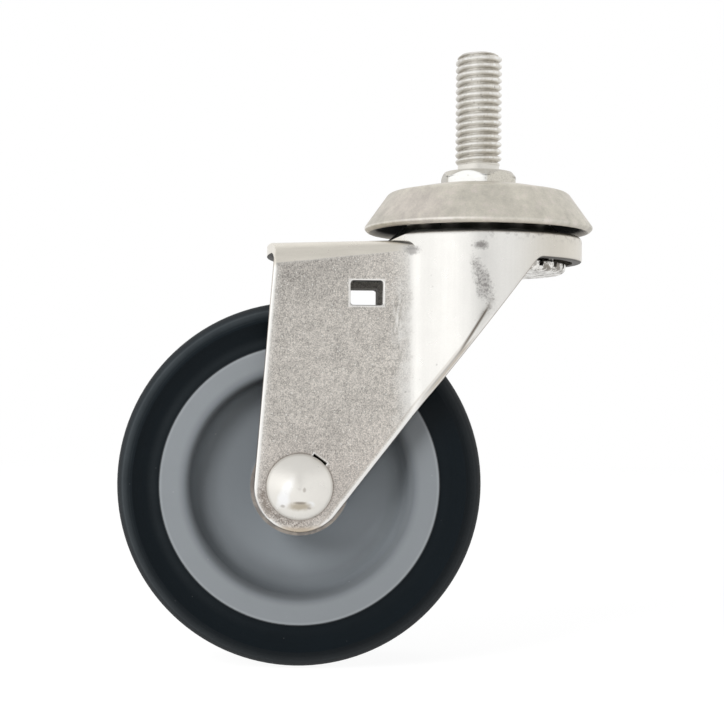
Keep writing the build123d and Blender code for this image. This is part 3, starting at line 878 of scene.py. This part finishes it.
def pressed_cap(context):
    """Satin zinc of the cap: faint blotches, specks, a painted highlight on the lip and painted
    shade under it and inside.
    """
    finishes = context.scene.castor_finishes
    wear_and_painted_light = finishes.wear_and_painted_light
    material, make = new_recipe("cap_zinc")
    x, y, z = make.parts(make.place)
    nx, ny, nz = make.facing()
    cloud = make.noise(6.0, 4.0, 0.6)
    patch = make.noise(2.2, 3.0, 0.6)
    grain = make.noise(0.35, 3.0, 0.6)
    speck = make.cells(1.9)
    base = colour_of(finishes.cap_zinc)
    pinkish = make.spot(x, z, (-15.0, CAP_BOTTOM + 4.0), (9.0, 5.0), (patch - 0.5) * 1.2)
    colour = make.blend(patch.step(0.5, 0.7).most(pinkish) * 0.5, base, (0.74, 0.67, 0.63))
    mottle = (cloud - 0.5) * 0.60 + (grain - 0.5) * 0.26 + (patch - 0.5) * 0.40
    # Painted shade: darker towards -X, a little darker towards +X
    left = 1.0 - x.step(-21.0, -11.0)
    colour = make.tinted(colour, 0.99 + mottle - left * 0.16 - x.step(8.0, 20.0) * 0.05)
    dots = (1.0 - speck.step(0.03, 0.12)) * patch.step(0.40, 0.6)
    colour = make.blend(dots * 0.35 * wear_and_painted_light, colour, (0.36, 0.33, 0.29))
    scuff = make.noise(1.3, 4.0, 0.7).step(0.62, 0.74)
    colour = make.blend(scuff * 0.25 * wear_and_painted_light, colour, (0.45, 0.42, 0.38))
    # Painted highlight on the lip's bend, fading towards +X
    over_lip = z + (patch - 0.5) * 0.25
    lip = over_lip.bump(CAP_BOTTOM + 0.80, 0.34) * (0.45 + patch.step(0.3, 0.7) * 0.55)
    lip = lip * (1.0 - x.step(-9.0, 0.0) * 0.75)
    colour = make.blend(lip * 0.75, colour, (0.96, 0.93, 0.88))
    # Painted shade under the lip
    roll = 1.0 - over_lip.step(CAP_BOTTOM + 0.10, CAP_BOTTOM + 0.55)
    colour = make.blend(roll * 0.35, colour, (0.52, 0.48, 0.43))
    # Painted shade inside the cap, near-black in its depth
    inside = 1.0 - (nx * x + ny * y + nz.least(0.0) * 6.0).step(-6.0, -1.0)
    deep = z.step(CAP_BOTTOM + 0.25, CAP_BOTTOM + 1.2)
    colour = make.blend(inside * 0.75, colour, (0.26, 0.24, 0.215))
    colour = make.blend(inside * deep, colour, (0.030, 0.030, 0.030))
    rough = 0.40 + cloud * 0.14 - lip * 0.12 + inside * deep * 0.3
    make.finish(colour, rough, 0.92, make.relief(grain * 0.5 + patch * 0.5, 0.05))
    return material


def toothed_cup(context):
    """Bright zinc of the race cup, crumpled by its forming, with painted black shade between its
    teeth.
    """
    wear_and_painted_light = context.scene.castor_finishes.wear_and_painted_light
    material, make = new_recipe("cup_zinc")
    x, y, z = make.parts(make.place)
    out = (x * x + y * y).root()
    crumple = make.noise(1.8, 3.0, 0.6, warp=0.6)
    grain = make.noise(0.4, 3.0, 0.6)
    base = make.blend(crumple.step(0.42, 0.56), (0.30, 0.275, 0.24), (1.0, 0.985, 0.94))
    stain_and_reflection = make.noise(0.9, 3.0, 0.6).step(0.58, 0.68)
    colour = make.blend(stain_and_reflection * 0.55 * wear_and_painted_light, base, (0.16, 0.14, 0.12))
    # Painted black shade inside the rim, between and behind the teeth
    inner = 1.0 - out.step(16.9, 17.5)
    above = z.step(CUP_TOP - 1.2, CUP_TOP - 0.7)
    colour = make.blend(inner * above, colour, (0.05, 0.048, 0.045))
    rough = 0.22 + grain * 0.16
    make.finish(colour, rough, PLATED, make.relief(crumple * 0.8 + grain * 0.2, 0.55))
    return material


def snap_rivet(context):
    """Bright rivet: warm patches, painted shade round the rim, and on the near head a painted
    soft sheen of highlights and a painted tan reflection low down.
    """
    wear_and_painted_light = context.scene.castor_finishes.wear_and_painted_light
    material, make = new_recipe("rivet_steel")
    x, y, z = make.parts(make.place)
    out = from_axle(x, z)
    cloud = make.noise(1.8, 3.0, 0.6)
    grain = make.noise(0.35, 3.0, 0.6)
    across, up = x - AXLE_X, z - AXLE_Z
    near = near_side(y) * wear_and_painted_light
    colour = make.blend(cloud * 0.5, (0.92, 0.895, 0.845), (0.86, 0.835, 0.775))
    colour = make.tinted(colour, 0.93 + cloud * 0.10)
    # Painted shade round the rim of the head
    colour = make.blend(out.step(6.0, 6.6) * 0.5, colour, (0.50, 0.47, 0.42))
    ragged = (cloud - 0.5) * 0.9
    # Painted highlights on the near head: a streak, a pool and a low glint
    slant = across + up * -0.42
    streak = make.spot(slant, up, (-2.45, -1.0), (1.5, 3.9), ragged * 0.4)
    colour = make.blend(streak * 0.9 * near, colour, (1.0, 1.0, 0.99))
    pool = make.spot(across, up, (-3.1, -2.5), (1.6, 2.0), ragged * 0.4)
    colour = make.blend(pool * near, colour, (1.0, 1.0, 1.0))
    low_glint = make.spot(across, up, (2.15, -3.35), (1.2, 0.9), ragged * 0.4)
    colour = make.blend(low_glint * near, colour, (1.0, 1.0, 0.99))
    # Painted tan reflection low on the near head, with a dark upper edge
    spot = make.spot(across, up, (0.15, -3.75), (3.1, 1.25), ragged * 0.8)
    colour = make.blend(spot * 0.8 * near, colour, (0.50, 0.435, 0.33))
    upper = make.spot(across, up, (0.1, -3.0), (1.5, 0.42), ragged * 0.5)
    colour = make.blend(upper * 0.7 * near, colour, (0.22, 0.18, 0.14))
    dent = make.spot(across, up, (0.95, -0.45), (0.42, 0.6), ragged)
    dent = dent.most(make.spot(across, up, (-3.3, -3.7), (0.7, 0.45), ragged))
    dent = dent.most(make.spot(across, up, (1.9, -4.1), (0.6, 0.4), ragged))
    colour = make.blend(dent * 0.6 * near, colour, (0.40, 0.36, 0.32))
    rough = 0.24 + cloud * 0.10 + spot * 0.2
    make.finish(colour, rough, PLATED, make.relief(cloud * 0.7 + grain * 0.3, 0.06))
    return material


def hub_plastic(context):
    """Moulded grey plastic with painted shade: a rim ring lit paler, a dished web lighter towards
    the front and darker towards its wall.
    """
    finishes = context.scene.castor_finishes
    wear_and_painted_light = finishes.wear_and_painted_light
    material, make = new_recipe("hub_plastic")
    x, _, z = make.parts(make.place)
    out = from_axle(x, z)
    cloud = make.noise(9.0, 3.0, 0.5)
    grain = make.noise(0.6, 3.0, 0.6)
    speck = make.cells(4.0)
    # Painted shade in the dish: lighter towards the front, darker towards its wall all round and
    # most at the upper rear
    lit_side = ((x - AXLE_X) * 0.94 - (z - AXLE_Z) * 0.34) / out
    dim_side = (((z - AXLE_Z) * 0.866 - (x - AXLE_X) * 0.5) / out).most(0.0) ** 3.0
    ring = (out - dim_side * 0.35).step(22.9, 24.9)
    fade = 0.33 - lit_side * lit_side * 0.20
    floor_shade = 0.98 - out.step(15.0, 21.0) * fade
    floor_shade = floor_shade + lit_side * (0.20 - out.step(17.0, 21.0) * 0.17)
    floor_shade = floor_shade + lit_side.most(0.0) ** 2.0 * 0.22 * (1.0 - out.step(17.5, 21.0))
    floor_shade = floor_shade - out.bump(22.5, 1.4) * (0.24 + dim_side * 0.30)
    shade = floor_shade + ring * (1.10 - floor_shade)
    shade = shade * (0.97 + cloud * 0.06) + (grain - 0.5) * 0.03
    base = colour_of(finishes.hub_grey)
    colour = make.tinted(make.blend(1.0 - ring, base, (0.300, 0.328, 0.352)), shade)
    dust = (1.0 - speck.step(0.02, 0.06)) * 0.35
    colour = make.blend(dust * wear_and_painted_light, colour, (0.55, 0.56, 0.57))
    parting = out.bump(28.0, 0.30)
    colour = make.blend(parting * 0.6, colour, (0.46, 0.49, 0.51))
    seam = out.step(28.22, 28.36)
    colour = make.blend(seam * 0.9, colour, (0.012, 0.014, 0.016))
    rough = 0.46 + grain * 0.14
    make.finish(colour, rough, 0.0, make.relief(grain, 0.015), Specular_IOR_Level=0.35)
    return material


def tyre_rubber(context):
    """Blue-black rubber, dull, with faint turning lines and a painted sheen on the shoulder and
    near the hub.
    """
    finishes = context.scene.castor_finishes
    wear_and_painted_light = finishes.wear_and_painted_light
    material, make = new_recipe("tyre_rubber")
    x, y, z = make.parts(make.place)
    out = from_axle(x, z)
    cloud = make.noise(7.0, 3.0, 0.6)
    grain = make.noise(0.45, 3.0, 0.6)
    lines = make.noise(0.35, 2.0, 0.6, make.joined(out, y, 0.0))
    speck = make.cells(3.2)
    base = colour_of(finishes.tyre_rubber)
    colour = make.tinted(base, 0.80 + cloud * 0.3 + (lines - 0.5) * 0.3)
    # Painted sheen on the shoulder and on a ring near the hub, stronger towards the upper rear
    turned = (((z - AXLE_Z) * 0.6 - (x - AXLE_X) * 0.8) / out).step(-0.6, 0.8)
    shoulder = out.bump(35.5, 1.4) * (0.35 + cloud * 0.5) + out.bump(35.8, 0.35) * 0.35
    shoulder = shoulder + out.bump(34.3, 0.30) * 0.22 * cloud
    colour = make.blend(shoulder * (0.35 + turned * 0.45) * wear_and_painted_light, colour, (0.070, 0.082, 0.090))
    inner = out.bump(29.6, 1.7) * (0.15 + turned * 0.85) * (0.4 + cloud * 0.6)
    colour = make.blend(inner * 0.5 * wear_and_painted_light, colour, (0.036, 0.043, 0.048))
    dust = (1.0 - speck.step(0.015, 0.05)) * 0.4
    colour = make.blend(dust * wear_and_painted_light, colour, (0.12, 0.125, 0.13))
    rough = 0.52 + grain * 0.16
    height = grain * 0.6 + lines * 0.4
    make.finish(colour, rough, 0.0, make.relief(height, 0.03), Specular_IOR_Level=0.16)
    return material


class CASTOR_OT_fork(bpy.types.Operator):
    """Zinc-plated finish of the pressed fork"""

    bl_idname = "castor.fork"
    bl_label = "Fork"

    def execute(self, context):
        dress("fork", leg_zinc(context))
        return {"FINISHED"}


class CASTOR_OT_race(bpy.types.Operator):
    """Finishes of the top cap, the toothed race cup and the two rows of balls"""

    bl_idname = "castor.race"
    bl_label = "Ball Race"

    def execute(self, context):
        dress("top_cap", pressed_cap(context))
        dress("lower_race_cup", toothed_cup(context))
        ball = plain_metal("ball_steel", (0.48, 0.46, 0.43), 0.22, 0.05)
        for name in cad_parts:
            if "_ball_" in name:
                dress(name, ball)
        return {"FINISHED"}


class CASTOR_OT_axle(bpy.types.Operator):
    """Finishes of the snap-head rivet, its sleeve and the thrust washers"""

    bl_idname = "castor.axle"
    bl_label = "Axle"

    def execute(self, context):
        dress("axle_rivet", snap_rivet(context))
        dress("axle_sleeve", plain_metal("sleeve_steel", (0.5, 0.48, 0.45), 0.35))
        washer = dull_washer(context)
        for name in ("washer_near", "washer_far"):
            dress(name, washer)
        return {"FINISHED"}


class CASTOR_OT_wheel(bpy.types.Operator):
    """Moulded plastic of the hub and rubber of the tyre"""

    bl_idname = "castor.wheel"
    bl_label = "Wheel"

    def execute(self, context):
        dress("wheel_hub", hub_plastic(context))
        dress("tyre", tyre_rubber(context))
        return {"FINISHED"}


def softbox(name, place, width, height, power):
    """A rectangular lamp, left out of mirrored light, which the room itself gives."""
    lamp = bpy.data.lights.new(name, "AREA")
    lamp.shape = "RECTANGLE"
    lamp.size = width
    lamp.size_y = height
    lamp.energy = power
    holder = bpy.data.objects.new(name, lamp)
    holder.location = place
    aim = Vector(LAMP_TARGET) - Vector(place)
    holder.rotation_euler = aim.to_track_quat("-Z", "Y").to_euler()
    holder.visible_glossy = False
    bpy.context.scene.collection.objects.link(holder)


class CASTOR_OT_studio(bpy.types.Operator):
    """Pale floor, white room, softboxes and the camera"""

    bl_idname = "castor.studio"
    bl_label = "Studio"

    def execute(self, context):
        scene = context.scene
        studio = scene.castor_studio
        floor_z = TYRE_BOX[0].z
        mesh = bpy.data.meshes.new("floor")
        corners = [
            (x * FLOOR_REACH, y * FLOOR_REACH, floor_z)
            for x, y in ((-1, -1), (1, -1), (1, 1), (-1, 1))
        ]
        mesh.from_pydata(corners, [], [(0, 1, 2, 3)])
        floor = bpy.data.objects.new("floor", mesh)
        scene.collection.objects.link(floor)
        material, make = new_recipe("studio_floor")
        paper = make.node("ShaderNodeBsdfDiffuse", None, {"Color": (0.88, 0.88, 0.88)})
        glow = make.node("ShaderNodeEmission", None, {"Color": (1, 1, 1), "Strength": 1.18})
        path = make.node("ShaderNodeLightPath")
        seen = Value(make, path.outputs["Is Camera Ray"])
        glossy = Value(make, path.outputs["Is Glossy Ray"])
        mixed = make.node(
            "ShaderNodeMixShader",
            None,
            {0: seen * 0.80 + glossy * 0.6, 1: paper.outputs[0], 2: glow.outputs[0]},
        )
        make.node("ShaderNodeOutputMaterial", None, {"Surface": mixed.outputs[0]})
        mesh.materials.append(material)

        world = bpy.data.worlds.new("white_room")
        scene.world = world
        room = Recipe(world)
        x, y, z = room.parts(room.node("ShaderNodeTexCoord").outputs["Generated"])
        sideways = x / (x * x + y * y + 0.0001).root()
        walls = studio.room_left + sideways.step(-0.30, 0.30) * (
            studio.room_right - studio.room_left
        )
        strip = sideways.bump(-0.03, 0.22) * (1.0 - y.step(-0.6, -0.2))
        mirrored = walls + strip * (studio.room_front - walls)
        panel = sideways.bump(-0.60, 0.34) * (1.0 - y.step(-0.25, 0.0))
        mirrored = mirrored + panel * (1.0 - abs(z + 0.3).step(0.35, 0.65)) * studio.room_window
        mirrored = mirrored + z.step(0.25, 0.75) * (studio.room_ceiling - mirrored)
        mirrored = mirrored + y.step(0.0, 0.5) * (1.0 - mirrored)
        path = room.node("ShaderNodeLightPath")
        seen = Value(room, path.outputs["Is Camera Ray"])
        glossy = Value(room, path.outputs["Is Glossy Ray"])
        strength = studio.room_ambient * (1.0 - seen - glossy) + mirrored * glossy + seen
        sky = room.node("ShaderNodeBackground", None, {"Color": (1, 1, 1), "Strength": strength})
        room.node("ShaderNodeOutputWorld", None, {"Surface": sky.outputs[0]})

        softbox("key_softbox", (-0.58, -0.58, 0.42), 0.4, 0.5, studio.key_power)
        softbox("fill_softbox", (0.80, -0.35, 0.10), 0.4, 0.8, studio.fill_power)
        softbox("top_softbox", (0.0, 0.10, 0.90), 0.9, 0.9, studio.top_power)

        lens = bpy.data.cameras.new("camera")
        lens.lens = studio.lens
        lens.sensor_width = 36.0
        lens.clip_start = 0.01
        camera = bpy.data.objects.new("camera", lens)
        yaw, pitch, roll = studio.camera_turn
        camera.matrix_world = (
            Matrix.Translation(studio.camera_place)
            @ Matrix.Rotation(-yaw, 4, "Z")
            @ Matrix.Rotation(math.pi / 2 + pitch, 4, "X")
            @ Matrix.Rotation(roll, 4, "Z")
        )
        scene.collection.objects.link(camera)
        scene.camera = camera
        scene.view_settings.view_transform = "Standard"
        return {"FINISHED"}


class CASTOR_PT_sidebar(bpy.types.Panel):
    """Sizes, finishes and studio of the castor, with a button for each piece"""

    bl_label = "Castor"
    bl_idname = "CASTOR_PT_sidebar"
    bl_space_type = "VIEW_3D"
    bl_region_type = "UI"
    bl_category = "Castor"

    def draw(self, context):
        for group in ("castor_sizes", "castor_finishes", "castor_studio"):
            settings = getattr(context.scene, group)
            box = self.layout.box()
            for name in settings.__annotations__:
                box.prop(settings, name)
        for piece in PIECES:
            self.layout.operator(piece.bl_idname)


PIECES = (
    CASTOR_OT_studio,
    CASTOR_OT_stem,
    CASTOR_OT_fork,
    CASTOR_OT_race,
    CASTOR_OT_axle,
    CASTOR_OT_wheel,
)
GROUPS = (
    ("castor_sizes", CastorSizes),
    ("castor_finishes", CastorFinishes),
    ("castor_studio", CastorStudio),
)


def register():
    for name, group in GROUPS:
        bpy.utils.register_class(group)
        setattr(bpy.types.Scene, name, bpy.props.PointerProperty(type=group))
    for piece in PIECES:
        bpy.utils.register_class(piece)
    bpy.utils.register_class(CASTOR_PT_sidebar)


def unregister():
    bpy.utils.unregister_class(CASTOR_PT_sidebar)
    for piece in reversed(PIECES):
        bpy.utils.unregister_class(piece)
    for name, group in reversed(GROUPS):
        delattr(bpy.types.Scene, name)
        bpy.utils.unregister_class(group)


def main():
    register()
    bpy.ops.castor.studio()
    bpy.ops.castor.stem()
    bpy.ops.castor.fork()
    bpy.ops.castor.race()
    bpy.ops.castor.axle()
    bpy.ops.castor.wheel()


if __name__ == "__main__":
    main()
